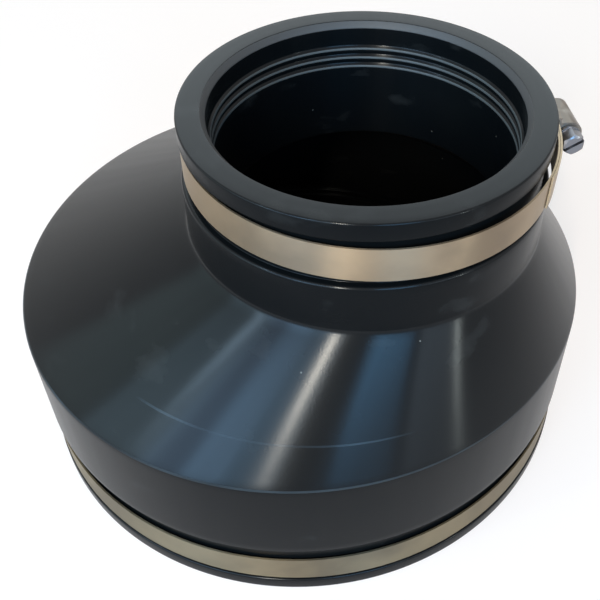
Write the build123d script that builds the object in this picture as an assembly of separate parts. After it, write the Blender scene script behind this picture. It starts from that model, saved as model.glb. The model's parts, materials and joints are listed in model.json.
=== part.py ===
"""Eccentric rubber transition coupling with two worm-drive band clamps.

One moulded rubber sleeve joins a wide drain pipe to a narrow one whose axis
is set to one side. Each end is closed on its pipe by a perforated steel band,
a pressed housing and a hexagon-headed worm screw.

Millimetres, +Z up. The origin is the centre of the large open end, on the
plane that the coupling stands on.
"""
import os
from math import cos, pi, radians, sin

from build123d import *

# Rubber sleeve, large end
LARGE_OUTER_R = 123.0
LARGE_WALL_T = 11.0
LARGE_LIP_H = 6.5
LARGE_SHOULDER_Z = 29.5
LARGE_SIDE_H = 72.0
LARGE_BORE_TOP_Z = 66.0

# Rubber sleeve, small end, with drops measured down from its top face
SMALL_OUTER_R = 70.0
SMALL_WALL_T = 12.0
SMALL_AXIS = (27.1, -16.7)
SMALL_LIP_H = 7.5
SMALL_SHOULDER_DROP = 27.0
SMALL_NECK_DROP = 48.4
SMALL_BORE_DROP = 54.5
NECK_SWELL = 1.0
TOTAL_H = 164.5

# Forms that both ends share
RECESS_DEPTH = 2.0
LEAD_IN_STEP = 1.2
MOUTH_BEVEL_W = 1.8
MOUTH_BEVEL_H = 2.5
RIB_COUNT = 3
RIB_PITCH = 4.2
RIB_W = 1.7
RIB_FIRST_DROP = 10.6
LIP_ROUND = 0.8
SHOULDER_ROUND = 0.8
RIM_ROUND = 2.0
NECK_FILLET = 3.0

# Clamp bands
BAND_W = 14.0
BAND_T = 0.7
LAYER_GAP = 0.15
TAIL_ARC = 44.0
TAIL_LEAD = 14.0
RAMP_ARC = 5.0
SLOT_PITCH = 3.0
SLOT_W = 1.3
SLOT_L = 8.0
SLOT_SLANT = 6.0
SLOTS_ON_TAIL = 12
SLOTS_ON_LEAD = 7
SLOTS_PAST_RAMP = 12

# Clamp housings
HOUSING_L = 17.0
HOUSING_T = 0.9
END_WALL_T = 1.2
FOOT_T = 0.6
FOOT_W = 3.2
FOOT_GAP = 0.05
ROOF_GAP = 0.2

# Clamp screws
WORM_R = 4.5
WORM_CORE_R = 3.4
WORM_LIFT = 0.1
WORM_SIDE_GAP = 0.25
JOURNAL_R = 2.6
JOURNAL_GAP = 0.06
END_GAP = 0.3
TIP_STAND = 0.8
COLLAR_R = 4.6
COLLAR_T = 1.2
HEAD_ACROSS_FLATS = 8.0
HEAD_L = 5.6
HEAD_CHAMFER = 0.6
DRIVE_SLOT_W = 1.3
DRIVE_SLOT_DEPTH = 1.8
HEAD_TURN = 31.0

# Where the clamps sit on the sleeve
SMALL_CLIP_AZIMUTH = 9.0
SMALL_BAND_CLEARANCE = 2.2
SMALL_BAND_OFFSET = 1.2
SMALL_BAND_TILT = 1.15
SMALL_BAND_LOW_SIDE = -30.0
SMALL_BAND_TOP_GAP = 0.15
LARGE_CLIP_AZIMUTH = 70.0
LARGE_BAND_CLEARANCE = 0.9
LARGE_BAND_FOOT_GAP = 0.4

large_bore_r = LARGE_OUTER_R - LARGE_WALL_T
small_bore_r = SMALL_OUTER_R - SMALL_WALL_T
small_lip_z = TOTAL_H - SMALL_LIP_H
small_shoulder_z = TOTAL_H - SMALL_SHOULDER_DROP
small_neck_z = TOTAL_H - SMALL_NECK_DROP
small_bore_end_z = TOTAL_H - SMALL_BORE_DROP
small_neck_r = SMALL_OUTER_R + NECK_SWELL
small_recess_r = SMALL_OUTER_R - RECESS_DEPTH
large_recess_r = LARGE_OUTER_R - RECESS_DEPTH
on_small_axis = Pos(SMALL_AXIS[0], SMALL_AXIS[1], 0)


def turned(points):
    """A solid of revolution about Z from a closed half section in X and Z."""
    section = make_face(Polyline(*[(r, 0, z) for r, z in points], close=True))
    return revolve(section, Axis.Z)


def socket_section(bore_r, mouth_z, end_z, inward):
    """Half section of a pipe socket: bevelled mouth, lead-in, sealing ribs, plain bore."""
    lead_r = bore_r + LEAD_IN_STEP
    points = [
        (0, mouth_z),
        (lead_r + MOUTH_BEVEL_W, mouth_z),
        (lead_r, mouth_z + inward * MOUTH_BEVEL_H),
    ]
    for rib in range(RIB_COUNT):
        top = mouth_z + inward * (RIB_FIRST_DROP + rib * RIB_PITCH)
        crest = top + inward * LEAD_IN_STEP
        points += [(lead_r, top), (bore_r, crest)]
        if rib < RIB_COUNT - 1:
            foot = crest + inward * RIB_W
            points += [(bore_r, foot), (lead_r, foot)]
    return points + [(bore_r, end_z), (0, end_z)]


def oblique_cone(low_r, low_z, high_r, high_z):
    """A funnel from a ring about the large axis up to a ring about the small axis."""
    low = Pos(0, 0, low_z) * Circle(low_r)
    high = on_small_axis * Pos(0, 0, high_z) * Circle(high_r)
    return loft([low, high])


def ring_edges(body, z, r, centre=(0, 0)):
    """The round edges of a body at a height and radius about an upright axis."""
    def fits(edge):
        at = edge.arc_center
        off_axis = abs(at.X - centre[0]) + abs(at.Y - centre[1])
        return off_axis < 0.01 and abs(at.Z - z) < 0.01 and abs(edge.radius - r) < 0.01
    return [edge for edge in body.edges().filter_by(GeomType.CIRCLE) if fits(edge)]


def make_coupling_body():
    """The moulded sleeve: two collars with band recesses, joined by an oblique cone."""
    large_collar = turned([
        (0, 0),
        (LARGE_OUTER_R, 0),
        (LARGE_OUTER_R, LARGE_LIP_H),
        (large_recess_r, LARGE_LIP_H),
        (large_recess_r, LARGE_SHOULDER_Z),
        (LARGE_OUTER_R, LARGE_SHOULDER_Z),
        (LARGE_OUTER_R, LARGE_SIDE_H),
        (0, LARGE_SIDE_H),
    ])
    small_collar = on_small_axis * turned([
        (0, small_neck_z),
        (small_neck_r, small_neck_z),
        (small_neck_r, small_shoulder_z),
        (small_recess_r, small_shoulder_z),
        (small_recess_r, small_lip_z),
        (SMALL_OUTER_R, small_lip_z),
        (SMALL_OUTER_R, TOTAL_H),
        (0, TOTAL_H),
    ])
    funnel = oblique_cone(LARGE_OUTER_R, LARGE_SIDE_H, small_neck_r, small_neck_z)
    body = large_collar + funnel + small_collar
    for z, r, centre, size in (
        (small_neck_z, small_neck_r, SMALL_AXIS, NECK_FILLET),
        (LARGE_SIDE_H, LARGE_OUTER_R, (0, 0), RIM_ROUND),
        (TOTAL_H, SMALL_OUTER_R, SMALL_AXIS, LIP_ROUND),
        (small_lip_z, SMALL_OUTER_R, SMALL_AXIS, LIP_ROUND),
        (small_shoulder_z, small_neck_r, SMALL_AXIS, SHOULDER_ROUND),
        (LARGE_SHOULDER_Z, LARGE_OUTER_R, (0, 0), SHOULDER_ROUND),
        (LARGE_LIP_H, LARGE_OUTER_R, (0, 0), LIP_ROUND),
        (0, LARGE_OUTER_R, (0, 0), LIP_ROUND),
    ):
        body = fillet(ring_edges(body, z, r, centre), size)
    large_socket = turned(socket_section(large_bore_r, 0, LARGE_BORE_TOP_Z, 1))
    small_socket = turned(socket_section(small_bore_r, TOTAL_H, small_bore_end_z, -1))
    passage = oblique_cone(large_bore_r, LARGE_BORE_TOP_Z, small_bore_r, small_bore_end_z)
    return body - large_socket - on_small_axis * small_socket - passage


def ring_point(radius, angle):
    return (radius * cos(radians(angle)), radius * sin(radians(angle)))


def make_band(inner_r):
    """A perforated strip wound once, with its tail lying over its fixed inner end.

    The clip is at angle 0 with its screw head towards -Y. The strip climbs
    on its way into the clip, and its tail leaves under the screw head.
    """
    outer_r = inner_r + BAND_T
    tail_in_r = outer_r + LAYER_GAP
    tail_out_r = tail_in_r + BAND_T
    per_mm = 180 / (pi * inner_r)
    fixed_end = 360 + HOUSING_L / 2 * per_mm
    climb_top = (HOUSING_L / 2 + TAIL_LEAD) * per_mm
    climb_foot = climb_top + RAMP_ARC * per_mm
    tail_end = -TAIL_ARC * per_mm
    turn = fixed_end - climb_foot
    tail = climb_top - tail_end
    outline = [
        CenterArc((0, 0), inner_r, climb_foot, turn),
        Line(ring_point(inner_r, fixed_end), ring_point(outer_r, fixed_end)),
        CenterArc((0, 0), outer_r, climb_foot, turn),
        Line(ring_point(outer_r, climb_foot), ring_point(tail_out_r, climb_top)),
        CenterArc((0, 0), tail_out_r, tail_end, tail),
        Line(ring_point(tail_out_r, tail_end), ring_point(tail_in_r, tail_end)),
        CenterArc((0, 0), tail_in_r, tail_end, tail),
        Line(ring_point(tail_in_r, climb_top), ring_point(inner_r, climb_foot)),
    ]
    strip = extrude(make_face(outline), BAND_W / 2, both=True)
    slot_depth = BAND_T + LAYER_GAP
    slot = Rot(SLOT_SLANT, 0, 0) * Box(slot_depth, SLOT_W, SLOT_L)
    first_past = climb_foot / per_mm + SLOT_PITCH
    arcs = [(tail_in_r, step * SLOT_PITCH) for step in range(-SLOTS_ON_TAIL, SLOTS_ON_LEAD + 1)]
    arcs += [(inner_r, first_past + step * SLOT_PITCH) for step in range(SLOTS_PAST_RAMP)]
    slots = [Rot(0, 0, arc * per_mm) * Pos(r + BAND_T / 2, 0, 0) * slot for r, arc in arcs]
    return strip - slots


def screw_axis_r(inner_r):
    """How far the screw's axis lies from the band's centre."""
    return inner_r + 2 * BAND_T + LAYER_GAP + WORM_LIFT + WORM_R


def block(x, y, z):
    """A box from its low and high X, Y and Z."""
    size = Box(x[1] - x[0], y[1] - y[0], z[1] - z[0])
    return Pos((x[0] + x[1]) / 2, (y[0] + y[1]) / 2, (z[0] + z[1]) / 2) * size


def along_y(radius, length):
    return Rot(90, 0, 0) * Cylinder(radius, length)


def make_housing(inner_r):
    """The pressed housing: feet under the band, legs at its edges and an arch over the worm."""
    axis_r = screw_axis_r(inner_r)
    roof_r = inner_r + 2 * BAND_T + LAYER_GAP + ROOF_GAP
    arch_in = WORM_R + WORM_SIDE_GAP
    arch_out = arch_in + HOUSING_T
    half_l = HOUSING_L / 2
    half_w = BAND_W / 2
    long = (-half_l, half_l)
    inner_l = (END_WALL_T - half_l, half_l - END_WALL_T)
    saddle = block((0, roof_r + HOUSING_T), long, (-half_w - HOUSING_T, half_w + HOUSING_T))
    arch = block((roof_r, axis_r), long, (-arch_out, arch_out))
    arch += Pos(axis_r, 0, 0) * along_y(arch_out, HOUSING_L)
    foot_top = Cylinder(inner_r - FOOT_GAP, BAND_W)
    strip_way = block((0, roof_r), long, (-half_w, half_w)) - foot_top
    between_feet = block((0, roof_r), long, (FOOT_W - half_w, half_w - FOOT_W))
    worm_way = block((roof_r - HOUSING_T, axis_r), inner_l, (-arch_in, arch_in))
    worm_way += Pos(axis_r, 0, 0) * along_y(arch_in, inner_l[1] - inner_l[0])
    journals = Pos(axis_r, 0, 0) * along_y(JOURNAL_R + JOURNAL_GAP, HOUSING_L * 2)
    under = Cylinder(inner_r - FOOT_T, BAND_W * 2)
    return saddle + arch - under - strip_way - between_feet - worm_way - journals


def make_screw(inner_r):
    """The worm screw: tip journal, worm core, head journal, collar and slotted hexagon head."""
    half_l = HOUSING_L / 2
    core_end = half_l - END_WALL_T - END_GAP
    collar_at = half_l + END_GAP
    head_at = collar_at + COLLAR_T
    stem = turned([
        (0, -half_l - TIP_STAND),
        (JOURNAL_R, -half_l - TIP_STAND),
        (JOURNAL_R, -core_end),
        (WORM_CORE_R, -core_end),
        (WORM_CORE_R, core_end),
        (JOURNAL_R, core_end),
        (JOURNAL_R, collar_at),
        (COLLAR_R, collar_at),
        (COLLAR_R, head_at),
        (0, head_at),
    ])
    corner_r = HEAD_ACROSS_FLATS / 3 ** 0.5
    hexagon = Pos(0, 0, head_at) * extrude(RegularPolygon(corner_r, 6), HEAD_L)
    head_end = head_at + HEAD_L
    rounding = turned([
        (0, head_at),
        (corner_r, head_at),
        (corner_r, head_end - HEAD_CHAMFER),
        (corner_r - 2 * HEAD_CHAMFER, head_end),
        (0, head_end),
    ])
    cross_cut = Pos(0, 0, head_end) * Box(4 * corner_r, DRIVE_SLOT_W, 2 * DRIVE_SLOT_DEPTH)
    screw = stem + (hexagon & rounding) - cross_cut
    return Pos(screw_axis_r(inner_r), 0, 0) * Rot(90, 0, 0) * Rot(0, 0, HEAD_TURN) * screw


def clamp_pieces(inner_r, place):
    """The three pieces of one clamp, carried to their place on the sleeve."""
    return [place * make(inner_r) for make in (make_band, make_housing, make_screw)]


def small_clamp_place(inner_r):
    """The slack small clamp: pulled towards its clip and tipped down on one side."""
    reach = (inner_r + BAND_T) * sin(radians(SMALL_BAND_TILT))
    high_top = small_lip_z - SMALL_BAND_TOP_GAP
    centre_z = high_top - BAND_W / 2 - reach
    pull = ring_point(SMALL_BAND_OFFSET, SMALL_CLIP_AZIMUTH)
    to_low = Rot(0, 0, SMALL_BAND_LOW_SIDE)
    tip = to_low * Rot(0, SMALL_BAND_TILT, 0) * to_low.inverse()
    centre = Pos(SMALL_AXIS[0] + pull[0], SMALL_AXIS[1] + pull[1], centre_z)
    return centre * tip * Rot(0, 0, SMALL_CLIP_AZIMUTH)


def large_clamp_place():
    """The large clamp: level in its recess, just clear of the bottom lip."""
    centre_z = LARGE_LIP_H + LARGE_BAND_FOOT_GAP + HOUSING_T + BAND_W / 2
    return Pos(0, 0, centre_z) * Rot(0, 0, LARGE_CLIP_AZIMUTH)


def main():
    small_r = small_recess_r + SMALL_BAND_CLEARANCE
    large_r = large_recess_r + LARGE_BAND_CLEARANCE
    parts = {"coupling_body": make_coupling_body()}
    for size, inner_r, place in (
        ("small", small_r, small_clamp_place(small_r)),
        ("large", large_r, large_clamp_place()),
    ):
        for piece, shape in zip(("band", "housing", "screw"), clamp_pieces(inner_r, place)):
            parts[f"{size}_clamp_{piece}"] = shape
    os.makedirs("parts", exist_ok=True)
    for name, shape in parts.items():
        export_step(shape, f"parts/{name}.step")


main()
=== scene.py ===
"""Looks of the eccentric rubber coupling: moulded sleeve, steel clamps, worm threads, light and camera."""
import json
import math

import bpy
from mathutils import Matrix, Vector


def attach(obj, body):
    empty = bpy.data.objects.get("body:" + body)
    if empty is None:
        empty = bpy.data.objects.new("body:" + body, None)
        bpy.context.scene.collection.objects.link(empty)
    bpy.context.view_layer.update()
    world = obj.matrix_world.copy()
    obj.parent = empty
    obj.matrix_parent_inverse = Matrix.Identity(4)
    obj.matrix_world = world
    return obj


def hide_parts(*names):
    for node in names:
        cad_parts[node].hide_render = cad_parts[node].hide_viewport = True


MM = 0.001

# Sleeve sizes in millimetres, as in the CAD model
LARGE_R = 123.0
LARGE_BORE = 112.0
SMALL_R = 70.0
SMALL_BORE = 58.0
SMALL_AXIS = (27.1, -16.7)
NECK_R = 71.0
RECESS = 2.0
LARGE_LIP_Z = 6.5
LARGE_SHOULDER_Z = 29.5
RIM_Z = 72.0
LARGE_BORE_TOP = 66.0
NECK_Z = 116.1
SMALL_SHOULDER_Z = 137.5
SMALL_LIP_Z = 157.0
SMALL_BORE_END = 110.0
TOP_Z = 164.5
LEAD_IN = 1.2
BEVEL_W = 1.8
BEVEL_H = 2.5
RIBS = 3
RIB_PITCH = 4.2
RIB_W = 1.7
RIB_DROP = 10.6

# How far a rounded corner reaches along its sides, in millimetres, and the most of a side that it takes
EDGE_CUT = 0.8
CORNER_CUT = 0.3
CREST_CUT = 0.5
RIM_CUT = 0.95
NECK_CUT = 1.4
SHOULDER_CUT = 1.3
MOST_OF_SIDE = 0.45

# Fineness of the sleeve's mesh
RING_STEPS = 300
CORNER_STEPS = 4
STATION_STEP = 3.0

# Worm threads, lengths in millimetres
PITCH = 3.0
THREAD_CREST_R = 4.45
THREAD_ROOT_R = 3.3
THREAD_CREST_W = 0.7
THREAD_ROOT_W = 1.7
THREAD_HALF_L = 6.4
TURN_STEPS = 40
THREAD_EDGE_DEGREES = 35

# How a thread runs out at its ends, in turns and as a share of its height
RUN_OUT_TURNS = 0.25
RUN_OUT_HEIGHT = 0.1

# The sleeve's rubbers, in the order of its material slots
SATIN, MATT, TRIMMED_HIGHLIT, RUBBED_HIGHLIT = range(4)
SATIN_GLOSS = 0.16
MATT_GLOSS = 0.07
# Paler tones of the trimmed bevel and the rubbed rib crests, partly painted highlights of these lit edges
TRIMMED_AND_HIGHLIT_TONE = (0.055, 0.052, 0.050)
RUBBED_AND_HIGHLIT_TONE = (0.055, 0.059, 0.058)

# A strip of the outside this many times as tall as it is wide is a wall
WALL_STEEPNESS = 4

# The moulded skin, the marks on it and a painted highlight along the rim, lengths in millimetres
SKIN_TONE = (0.0022, 0.0030, 0.0036)
WORN_TONE = (0.0045, 0.0050, 0.0052)
SCUFF_TONE = (0.017, 0.0175, 0.017)
SKIN_ROUGHNESS = (0.21, 0.235)
RING_MARKS = (130.0, 2.0, 1.0)
RING_MARK_NOISE = (0.3, 0.7)
# A pale line painted along the rim's rounded edge as its highlight: its colour, half width and faintest share
RIM_HIGHLIGHT_TONE = (0.024, 0.031, 0.035)
RIM_HIGHLIGHT_HALF_W = 0.45
RIM_HIGHLIGHT_FAINTEST = 0.35
MOULD_LINE_TONE = (0.030, 0.040, 0.047)
MOULD_LINE_Z = 84.8
MOULD_LINE_HALF_W = 0.28
MOULD_LINE_FAINTEST = 0.15
MOULD_LINE_LEFT_Y = (-100.0, -92.0)
MOULD_LINE_RIGHT_X = (28.0, 46.0)
DUST_TONE = (0.14, 0.13, 0.11)
DUST_PER_METRE = 60.0
DUST_EDGE = (0.014, 0.024)

# Patches of wear: the noise's scale and detail, and the values between which a patch fades in
WEAR = (14.0, 4.0, 0.40, 0.70)
SCUFFS = (45.0, 5.0, 0.62, 0.82)
# Patches along the fine rings: wear on the mould line, breaks in the painted rim highlight
RING_GAPS = (25.0, 3.0, 0.38, 0.58)
DULL_STEEL = (30.0, 4.0, 0.40, 0.65)

# Each steel's bright colour, its duller colour and its roughness
STEELS = {
    "small_band_steel": ((0.334, 0.258, 0.175), (0.23, 0.18, 0.127), 0.38),
    # The large band's steel is a darker copy of the small band's: painted shade on the lower band
    "large_band_steel": ((0.22, 0.18, 0.115), (0.152, 0.125, 0.084), 0.38),
    "housing_steel": ((0.19, 0.165, 0.14), (0.12, 0.11, 0.10), 0.40),
    "screw_steel": ((0.20, 0.20, 0.215), (0.13, 0.13, 0.145), 0.32),
}

# Where the lights stand, in metres
LIGHT_DISTANCE = 1.6
LIGHT_TARGET = Vector((0.0, -0.03, 0.09))

# Each light's name, azimuth and elevation in degrees, width and height in metres, radiance and colour
LIGHTS = (
    ("key_strip", -103, 37, 0.045, 0.56, 205, (1.00, 0.93, 0.80)),
    ("left_strip", -150, 38, 0.05, 0.36, 46, (0.52, 0.76, 1.00)),
    ("right_strip", -37.6, 8, 0.055, 0.40, 38, (0.90, 1.00, 0.98)),
    ("back_box", 90, 36, 2.0, 1.0, 1.8, (0.76, 0.92, 1.00)),
    ("side_box", 178, 27, 0.7, 0.6, 1.3, (0.60, 0.95, 1.00)),
    ("far_left_box", -154, 27, 0.7, 0.6, 4.2, (0.49, 0.80, 1.00)),
    ("front_left_box", -130, 27, 0.7, 0.6, 7.3, (0.37, 0.64, 1.00)),
    ("front_box", -114, 27, 0.8, 0.6, 8, (0.34, 0.66, 1.00)),
    ("blue_box", -71, 27, 0.55, 0.6, 12.5, (0.20, 0.56, 1.00)),
    ("front_right_box", -48, 12, 0.5, 0.4, 4, (0.60, 0.80, 1.00)),
)

# Floor and sky, in metres and shares of white
FLOOR_REACH = 4.0
FLOOR_Z = -0.0002
FLOOR_TONE = (0.478, 0.387, 0.341)
FLOOR_GLOW = 0.57
FLOOR_FADE = (0.8, 2.4)
SLEEVE_FOOT = (0.116, 0.123)
SKY_LEVEL = 0.15
SKY_TONE = (1.0, 0.85, 0.65, 1.0)

# Camera, fitted to the photograph, in metres and degrees, its lens in millimetres
CAMERA_AT = (0.022025, -0.275285, 0.330598)
CAMERA_DOWN = 42.0
CAMERA_ROLL = 0.652
CAMERA_NEAREST = 0.01
FOCAL = 49.443
SENSOR = 36.0
SHIFT = (-0.0852, -0.1102)

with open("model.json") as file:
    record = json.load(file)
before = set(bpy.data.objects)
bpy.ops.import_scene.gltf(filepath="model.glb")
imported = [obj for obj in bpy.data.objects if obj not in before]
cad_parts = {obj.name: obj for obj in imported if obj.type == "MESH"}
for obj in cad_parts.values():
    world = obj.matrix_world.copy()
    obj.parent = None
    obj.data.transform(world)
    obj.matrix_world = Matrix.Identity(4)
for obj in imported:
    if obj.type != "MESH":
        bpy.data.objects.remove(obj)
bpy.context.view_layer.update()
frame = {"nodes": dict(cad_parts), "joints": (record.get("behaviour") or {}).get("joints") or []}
scene = bpy.context.scene


def surface_material(name, **sockets):
    """A surface material with constants on its own sockets."""
    material = bpy.data.materials.new(name)
    material.use_nodes = True
    shader = material.node_tree.nodes["Principled BSDF"]
    for socket, value in sockets.items():
        shader.inputs[socket.replace("_", " ")].default_value = value
    return material, shader


def add_node(material, kind, **settings):
    """A shader node with its settings, and its sockets' values by name."""
    node = material.node_tree.nodes.new(kind)
    for key, value in settings.items():
        if hasattr(node, key):
            setattr(node, key, value)
        else:
            node.inputs[key.replace("_", " ")].default_value = value
    return node


def join(material, start, end):
    """Links one node's output to another's input."""
    material.node_tree.links.new(start, end)


def object_noise(material, scale, detail, stretch=(1.0, 1.0, 1.0)):
    """Noise fixed to the object's own coordinates."""
    place = add_node(material, "ShaderNodeTexCoord")
    mapping = add_node(material, "ShaderNodeMapping", Scale=stretch)
    noise = add_node(material, "ShaderNodeTexNoise", Scale=scale, Detail=detail)
    join(material, place.outputs["Object"], mapping.inputs["Vector"])
    join(material, mapping.outputs["Vector"], noise.inputs["Vector"])
    return noise.outputs["Fac"]


def spread(material, value, low, high, start, end):
    """Maps a value's range from low to high onto start to end, held at its ends."""
    node = add_node(material, "ShaderNodeMapRange", clamp=True)
    for socket, number in zip(("From Min", "From Max", "To Min", "To Max"), (low, high, start, end)):
        node.inputs[socket].default_value = number
    join(material, value, node.inputs["Value"])
    return node.outputs["Result"]


def patches(material, look, stretch=(1.0, 1.0, 1.0), faintest=0.0):
    """A mask of irregular patches, from its faintest value outside them to 1 inside."""
    scale, detail, low, high = look
    return spread(material, object_noise(material, scale, detail, stretch), low, high, faintest, 1.0)


def calculate(material, operation, first, second):
    """The result of one sum on two outputs."""
    node = add_node(material, "ShaderNodeMath", operation=operation)
    join(material, first, node.inputs[0])
    join(material, second, node.inputs[1])
    return node.outputs[0]


def blend_colours(material, factor, first, second):
    """Turns one colour into another by a factor; the first may be another blend's output."""
    node = add_node(material, "ShaderNodeMix", data_type="RGBA")
    from_colour, to_colour = [socket for socket in node.inputs if socket.type == "RGBA"]
    if isinstance(first, tuple):
        from_colour.default_value = (*first, 1)
    else:
        join(material, first, from_colour)
    to_colour.default_value = (*second, 1)
    join(material, factor, node.inputs["Factor"])
    return next(socket for socket in node.outputs if socket.type == "RGBA")


def add_bump(material, shader, height, strength, distance):
    """Roughens a surface's shading by a height, the distance in metres."""
    node = add_node(material, "ShaderNodeBump", Strength=strength, Distance=distance)
    join(material, height, node.inputs["Height"])
    join(material, node.outputs["Normal"], shader.inputs["Normal"])


def follow_tangent(material, shader, **direction):
    """Gives a brushed surface the direction that its highlights are drawn out across."""
    along = add_node(material, "ShaderNodeTangent", **direction)
    join(material, along.outputs["Tangent"], shader.inputs["Tangent"])


def dust_mask(material):
    """A few specks of pale dust, half a millimetre across."""
    place = add_node(material, "ShaderNodeTexCoord")
    cells = add_node(material, "ShaderNodeTexVoronoi", Scale=DUST_PER_METRE)
    join(material, place.outputs["Object"], cells.inputs["Vector"])
    return spread(material, cells.outputs["Distance"], *DUST_EDGE, 1.0, 0.0)


def object_axes(material):
    """The object's own coordinates, one socket for each axis."""
    place = add_node(material, "ShaderNodeTexCoord")
    parts = add_node(material, "ShaderNodeSeparateXYZ")
    join(material, place.outputs["Object"], parts.inputs["Vector"])
    return parts.outputs


def fine_ring(material, height, half_width, faintest):
    """A fine level ring round the sleeve, fainter in irregular patches; it draws the worn mould line and the
    painted highlight along the rim.
    """
    near = add_node(material, "ShaderNodeMath", operation="COMPARE")
    join(material, object_axes(material)["Z"], near.inputs[0])
    near.inputs[1].default_value = height * MM
    near.inputs[2].default_value = half_width * MM
    return calculate(material, "MULTIPLY", near.outputs[0], patches(material, RING_GAPS, faintest=faintest))


def mould_line(material):
    """The mould's parting line on the cone, which only the front still shows."""
    axes = object_axes(material)
    line = fine_ring(material, MOULD_LINE_Z, MOULD_LINE_HALF_W, MOULD_LINE_FAINTEST)
    for axis, (full, gone) in (("Y", MOULD_LINE_LEFT_Y), ("X", MOULD_LINE_RIGHT_X)):
        shown = spread(material, axes[axis], full * MM, gone * MM, 1.0, 0.0)
        line = calculate(material, "MULTIPLY", line, shown)
    return line


def ring_marks(material):
    """Fine marks round the sleeve, left by turning the mould."""
    rings = add_node(material, "ShaderNodeUVMap", uv_map="moulding")
    lines = add_node(material, "ShaderNodeMapping", Scale=RING_MARKS)
    polish = add_node(material, "ShaderNodeTexNoise", Scale=1.0, Detail=3.0)
    join(material, rings.outputs["UV"], lines.inputs["Vector"])
    join(material, lines.outputs["Vector"], polish.inputs["Vector"])
    return polish.outputs["Fac"]


def make_rubber(name, gloss_level):
    """Black rubber from a turned mould: its fine ring marks draw highlights out along the cone."""
    material, shader = surface_material(
        name, Specular_IOR_Level=gloss_level, Anisotropic=0.85, Anisotropic_Rotation=0.25)
    # A pale line along the rim: a painted highlight of its rounded edge
    rim_highlight = fine_ring(material, RIM_Z, RIM_HIGHLIGHT_HALF_W, RIM_HIGHLIGHT_FAINTEST)
    tone = SKIN_TONE
    for mask, mark_tone in (
        (patches(material, WEAR), WORN_TONE),
        (patches(material, SCUFFS, stretch=(1.0, 1.0, 1.8)), SCUFF_TONE),
        (rim_highlight, RIM_HIGHLIGHT_TONE),
        (mould_line(material), MOULD_LINE_TONE),
        (dust_mask(material), DUST_TONE),
    ):
        tone = blend_colours(material, mask, tone, mark_tone)
    join(material, tone, shader.inputs["Base Color"])
    gloss = spread(material, ring_marks(material), *RING_MARK_NOISE, *SKIN_ROUGHNESS)
    join(material, gloss, shader.inputs["Roughness"])
    follow_tangent(material, shader, direction_type="UV_MAP", uv_map="moulding")
    grain = object_noise(material, scale=1400.0, detail=2.0)
    add_bump(material, shader, grain, strength=0.10, distance=0.0001)
    return material


def make_dull_rubber(name, tone):
    """Rubber that trimming or a pipe has rubbed, duller than the moulded skin, its paler tone partly a
    painted highlight.
    """
    material, shader = surface_material(name, Base_Color=(*tone, 1), Roughness=0.5, Specular_IOR_Level=0.3)
    grain = object_noise(material, scale=900.0, detail=2.0)
    add_bump(material, shader, grain, strength=0.2, distance=0.0003)
    return material


def make_steel(name, tone, dull_tone, roughness):
    """Rolled steel with a faint grain and patches of duller metal."""
    material, shader = surface_material(
        name, Metallic=1.0, Roughness=roughness, Anisotropic=0.9, Anisotropic_Rotation=0.25)
    follow_tangent(material, shader, direction_type="RADIAL", axis="Z")
    mottled = blend_colours(material, patches(material, DULL_STEEL), tone, dull_tone)
    join(material, mottled, shader.inputs["Base Color"])
    grain = object_noise(material, scale=60.0, detail=3.0, stretch=(1.0, 1.0, 40.0))
    add_bump(material, shader, grain, strength=0.06, distance=0.0002)
    return material


def on_profile(points):
    """Stations (r, z, share) along a closed outline, its corners rounded and its long runs divided."""
    path = []
    for index, (r, z, share, cut) in enumerate(points):
        here = Vector((r, z, share))
        before = Vector(points[index - 1][:3])
        after = Vector(points[(index + 1) % len(points)][:3])
        start = here + (before - here) * min(MOST_OF_SIDE, cut / (before - here).to_2d().length)
        end = here + (after - here) * min(MOST_OF_SIDE, cut / (after - here).to_2d().length)
        if path:
            last = path[-1]
            runs = math.ceil((start - last).to_2d().length / STATION_STEP)
            path += [last.lerp(start, step / runs) for step in range(1, runs)]
        for step in range(CORNER_STEPS + 1):
            t = step / CORNER_STEPS
            path.append(start * (1 - t) ** 2 + here * 2 * t * (1 - t) + end * t ** 2)
    return path


def socket_profile(bore, mouth_z, end_z, inward, share):
    """A socket's outline from its mouth inwards: bevel, lead-in, ribs and plain bore."""
    lead = bore + LEAD_IN
    points = [
        (lead + BEVEL_W, mouth_z, share, CORNER_CUT),
        (lead, mouth_z + inward * BEVEL_H, share, CORNER_CUT),
    ]
    for rib in range(RIBS):
        top = mouth_z + inward * (RIB_DROP + rib * RIB_PITCH)
        crest = top + inward * LEAD_IN
        foot = crest + inward * RIB_W
        points += [(lead, top, share, CORNER_CUT), (bore, crest, share, CREST_CUT)]
        if rib < RIBS - 1:
            points += [(bore, foot, share, CORNER_CUT), (lead, foot, share, CORNER_CUT)]
    return points + [(bore, end_z, share, CORNER_CUT)]


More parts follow.
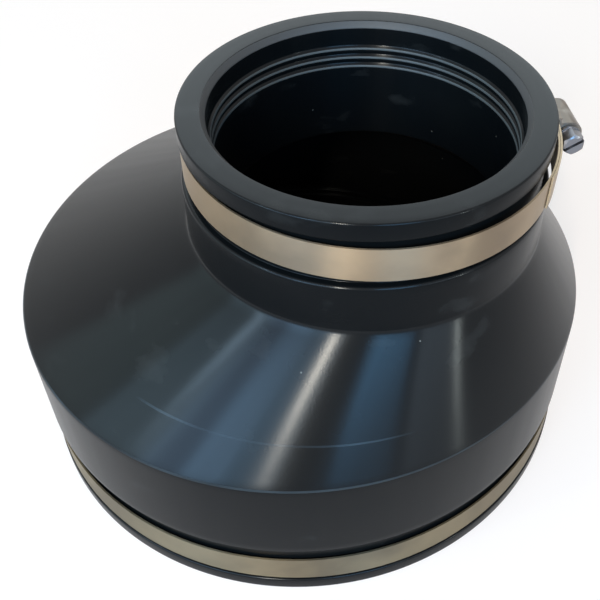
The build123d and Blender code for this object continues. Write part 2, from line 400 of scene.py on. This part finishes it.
def sleeve_outline():
    """The sleeve's closed outline as radius, height, share of the small end's offset, and corner cut."""
    outside = [
        (LARGE_R, 0, 0, EDGE_CUT),
        (LARGE_R, LARGE_LIP_Z, 0, EDGE_CUT),
        (LARGE_R - RECESS, LARGE_LIP_Z, 0, CORNER_CUT),
        (LARGE_R - RECESS, LARGE_SHOULDER_Z, 0, CORNER_CUT),
        (LARGE_R, LARGE_SHOULDER_Z, 0, EDGE_CUT),
        (LARGE_R, RIM_Z, 0, RIM_CUT),
        (NECK_R, NECK_Z, 1, NECK_CUT),
        (NECK_R, SMALL_SHOULDER_Z, 1, SHOULDER_CUT),
        (SMALL_R - RECESS, SMALL_SHOULDER_Z, 1, CORNER_CUT),
        (SMALL_R - RECESS, SMALL_LIP_Z, 1, CORNER_CUT),
        (SMALL_R, SMALL_LIP_Z, 1, EDGE_CUT),
        (SMALL_R, TOP_Z, 1, EDGE_CUT),
    ]
    small_socket = socket_profile(SMALL_BORE, TOP_Z, SMALL_BORE_END, -1, 1)
    large_socket = socket_profile(LARGE_BORE, 0, LARGE_BORE_TOP, 1, 0)
    return outside + small_socket + large_socket[::-1]


def mesh_object(name, points, faces, material):
    """A smooth shaded mesh, given in metres."""
    mesh = bpy.data.meshes.new(name)
    mesh.from_pydata(points, [], faces)
    mesh.shade_smooth()
    mesh.materials.append(material)
    piece = bpy.data.objects.new(name, mesh)
    scene.collection.objects.link(piece)
    return piece


def finish_of(here, after):
    """Which of the sleeve's rubbers shows between two stations, their x, y, z being r, z and share."""
    small_end = here.z > 0.5
    if small_end and here.x <= SMALL_BORE + LEAD_IN + BEVEL_W:
        # The bevel's paler rubber is partly a painted highlight
        if here.y > TOP_Z - BEVEL_H - CORNER_CUT:
            return TRIMMED_HIGHLIT
        # The rib crests' paler rubber is partly a painted highlight of the ribs' lit edges
        among_ribs = here.y > TOP_Z - RIB_DROP - RIBS * RIB_PITCH
        crest = after.x < here.x and here.x < SMALL_BORE + CREST_CUT
        return RUBBED_HIGHLIT if among_ribs and crest else SATIN
    outside = (SMALL_R if small_end else LARGE_R) - RECESS
    wall = abs(after.y - here.y) > WALL_STEEPNESS * abs(after.x - here.x)
    return MATT if wall and here.x >= outside else SATIN


def ring_points(path):
    """The points of the sleeve's rings, each ring about its own axis."""
    points = []
    for r, z, share in path:
        centre = Vector(SMALL_AXIS) * share
        for step in range(RING_STEPS):
            turn = math.tau * step / RING_STEPS
            points.append(Vector((
                (centre.x + r * math.cos(turn)) * MM,
                (centre.y + r * math.sin(turn)) * MM,
                z * MM,
            )))
    return points


def ring_faces(rings):
    """The faces between neighbouring rings, the last ring joined to the first."""
    faces = []
    for ring in range(rings):
        low = ring * RING_STEPS
        high = (ring + 1) % rings * RING_STEPS
        for step in range(RING_STEPS):
            after = (step + 1) % RING_STEPS
            faces.append((low + step, low + after, high + after, high + step))
    return faces


def add_moulding_map(mesh, rings):
    """A map that runs once round each ring, for the marks and highlights of the turned mould."""
    layer = mesh.uv_layers.new(name="moulding")
    corners = []
    for ring in range(rings):
        for step in range(RING_STEPS):
            corners += [(step, ring), (step + 1, ring), (step + 1, ring + 1), (step, ring + 1)]
    for loop, (step, ring) in zip(layer.data, corners):
        loop.uv = (step / RING_STEPS, ring / rings)


def make_sleeve(rubbers):
    """The rubber sleeve as one closed strip of rings."""
    path = on_profile(sleeve_outline())
    rings = len(path)
    piece = mesh_object("rubber_sleeve", ring_points(path), ring_faces(rings), rubbers[SATIN])
    for rubber in rubbers[1:]:
        piece.data.materials.append(rubber)
    for face in piece.data.polygons:
        ring = face.index // RING_STEPS
        face.material_index = finish_of(path[ring], path[(ring + 1) % rings])
    add_moulding_map(piece.data, rings)
    return piece


def make_thread(name, joint, material):
    """A right-hand worm thread wound round a screw's core, running out at both ends."""
    along = Vector(joint["axis"]).normalized()
    side = along.orthogonal().normalized()
    up = along.cross(side)
    middle = Vector(joint["pos_m"])
    turns = 2 * THREAD_HALF_L / PITCH
    section = [
        (THREAD_ROOT_R, -THREAD_ROOT_W / 2),
        (THREAD_CREST_R, -THREAD_CREST_W / 2),
        (THREAD_CREST_R, THREAD_CREST_W / 2),
        (THREAD_ROOT_R, THREAD_ROOT_W / 2),
    ]
    steps = round(turns * TURN_STEPS)
    points = []
    for step in range(steps + 1):
        turn = math.tau * turns * step / steps
        advance = -THREAD_HALF_L + 2 * THREAD_HALF_L * step / steps
        from_end = min(step, steps - step) / TURN_STEPS
        full = min(1.0, RUN_OUT_HEIGHT + from_end / RUN_OUT_TURNS)
        radial = side * math.cos(turn) + up * math.sin(turn)
        for r, offset in section:
            height = THREAD_ROOT_R + (r - THREAD_ROOT_R) * full
            points.append(middle + (radial * height + along * (advance + offset)) * MM)
    faces = [(0, 1, 2, 3), tuple(4 * steps + corner for corner in (3, 2, 1, 0))]
    for step in range(steps):
        for corner in range(4):
            beside = (corner + 1) % 4
            faces.append((4 * step + corner, 4 * step + 4 + corner, 4 * step + 4 + beside, 4 * step + beside))
    piece = mesh_object(name, points, faces, material)
    piece.data.set_sharp_from_angle(angle=math.radians(THREAD_EDGE_DEGREES))
    return piece


def paint(node, material):
    """Gives a CAD node its material."""
    mesh = frame["nodes"][node].data
    mesh.materials.clear()
    mesh.materials.append(material)


def aim(obj, at, target):
    """Places an object so that its -Z axis looks at the target."""
    back = (Vector(at) - Vector(target)).normalized()
    obj.matrix_world = Matrix.Translation(at) @ back.to_track_quat("Z", "Y").to_matrix().to_4x4()


def soft_light(name, azimuth, elevation, width, height, radiance, colour):
    """A rectangular soft light round the coupling, as bright to look at as its radiance says."""
    lamp = bpy.data.lights.new(name, "AREA")
    lamp.shape = "RECTANGLE"
    lamp.size = width
    lamp.size_y = height
    lamp.energy = radiance * math.pi * width * height
    lamp.color = colour
    light = bpy.data.objects.new(name, lamp)
    light.visible_camera = False
    scene.collection.objects.link(light)
    turn, rise = math.radians(azimuth), math.radians(elevation)
    direction = Vector((math.cos(turn) * math.cos(rise), math.sin(turn) * math.cos(rise), math.sin(rise)))
    aim(light, LIGHT_TARGET + direction * LIGHT_DISTANCE, LIGHT_TARGET)


def seen_rays(owner):
    """1 for the camera's rays and for those of gloss, metal and glass, else 0."""
    path = add_node(owner, "ShaderNodeLightPath")
    direct = calculate(owner, "MAXIMUM", path.outputs["Is Camera Ray"], path.outputs["Is Glossy Ray"])
    return calculate(owner, "MAXIMUM", direct, path.outputs["Is Transmission Ray"])


def make_floor():
    """A floor that shows as plain white, with the shadow near the sleeve and no edge far away."""
    material, shader = surface_material("floor", Roughness=0.9)
    place = add_node(material, "ShaderNodeTexCoord")
    away = add_node(material, "ShaderNodeVectorMath", operation="LENGTH")
    join(material, place.outputs["Object"], away.inputs[0])
    distance = away.outputs["Value"]
    far = spread(material, distance, *FLOOR_FADE, 0.0, 1.0)
    join(material, blend_colours(material, far, FLOOR_TONE, (0.0, 0.0, 0.0)), shader.inputs["Base Color"])
    level = spread(material, far, 0.0, 1.0, FLOOR_GLOW, 1.0)
    outside = spread(material, distance, *SLEEVE_FOOT, 0.0, 1.0)
    lit = calculate(material, "MULTIPLY", level, outside)
    strength = calculate(material, "MULTIPLY", lit, seen_rays(material))
    glow = add_node(material, "ShaderNodeEmission", Color=(1, 1, 1, 1))
    join(material, strength, glow.inputs["Strength"])
    both = add_node(material, "ShaderNodeAddShader")
    join(material, shader.outputs[0], both.inputs[0])
    join(material, glow.outputs[0], both.inputs[1])
    join(material, both.outputs[0], material.node_tree.nodes["Material Output"].inputs["Surface"])
    quarters = ((-1, -1), (1, -1), (1, 1), (-1, 1))
    corners = [(x * FLOOR_REACH, y * FLOOR_REACH, FLOOR_Z) for x, y in quarters]
    mesh_object("floor", corners, [(0, 1, 2, 3)], material)


def make_world():
    """A faint even sky, plain white where the camera, gloss, metal or glass shows it."""
    world = bpy.data.worlds.new("studio")
    world.use_nodes = True
    scene.world = world
    sky = world.node_tree.nodes["Background"]
    sky.inputs["Color"].default_value = SKY_TONE
    sky.inputs["Strength"].default_value = SKY_LEVEL
    white = add_node(world, "ShaderNodeBackground", Color=(1, 1, 1, 1), Strength=1.0)
    mix = add_node(world, "ShaderNodeMixShader")
    join(world, seen_rays(world), mix.inputs["Fac"])
    join(world, sky.outputs[0], mix.inputs[1])
    join(world, white.outputs[0], mix.inputs[2])
    join(world, mix.outputs[0], world.node_tree.nodes["World Output"].inputs["Surface"])


def make_lights():
    """Strips for the streaks on the cone, and broad soft boxes round it for the rest."""
    for row in LIGHTS:
        soft_light(*row)


def make_camera():
    """The camera, tilted down and slightly rolled as it was for the photograph."""
    camera_data = bpy.data.cameras.new("camera")
    camera_data.sensor_width = SENSOR
    camera_data.lens = FOCAL
    camera_data.shift_x, camera_data.shift_y = SHIFT
    camera_data.clip_start = CAMERA_NEAREST
    camera = bpy.data.objects.new("camera", camera_data)
    scene.collection.objects.link(camera)
    tilt = Matrix.Rotation(math.radians(90 - CAMERA_DOWN), 4, "X")
    roll = Matrix.Rotation(math.radians(CAMERA_ROLL), 4, "Z")
    camera.matrix_world = Matrix.Translation(CAMERA_AT) @ tilt @ roll
    scene.camera = camera


sleeve = make_sleeve((
    make_rubber("satin_rubber", SATIN_GLOSS),
    make_rubber("matt_rubber", MATT_GLOSS),
    make_dull_rubber("trimmed_highlit_rubber", TRIMMED_AND_HIGHLIT_TONE),
    make_dull_rubber("rubbed_highlit_rubber", RUBBED_AND_HIGHLIT_TONE),
))
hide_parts("coupling_body")
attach(sleeve, "coupling")

steels = {name: make_steel(name, *look) for name, look in STEELS.items()}
for end in ("small", "large"):
    paint(f"{end}_clamp_band", steels[f"{end}_band_steel"])
    paint(f"{end}_clamp_housing", steels["housing_steel"])
    paint(f"{end}_clamp_screw", steels["screw_steel"])
    joint = next(j for j in frame["joints"] if j["child"] == f"{end}_screw")
    thread = make_thread(f"{end}_worm_thread", joint, steels["screw_steel"])
    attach(thread, f"{end}_screw")

make_floor()
make_world()
make_lights()
make_camera()

scene.view_settings.view_transform = "Standard"
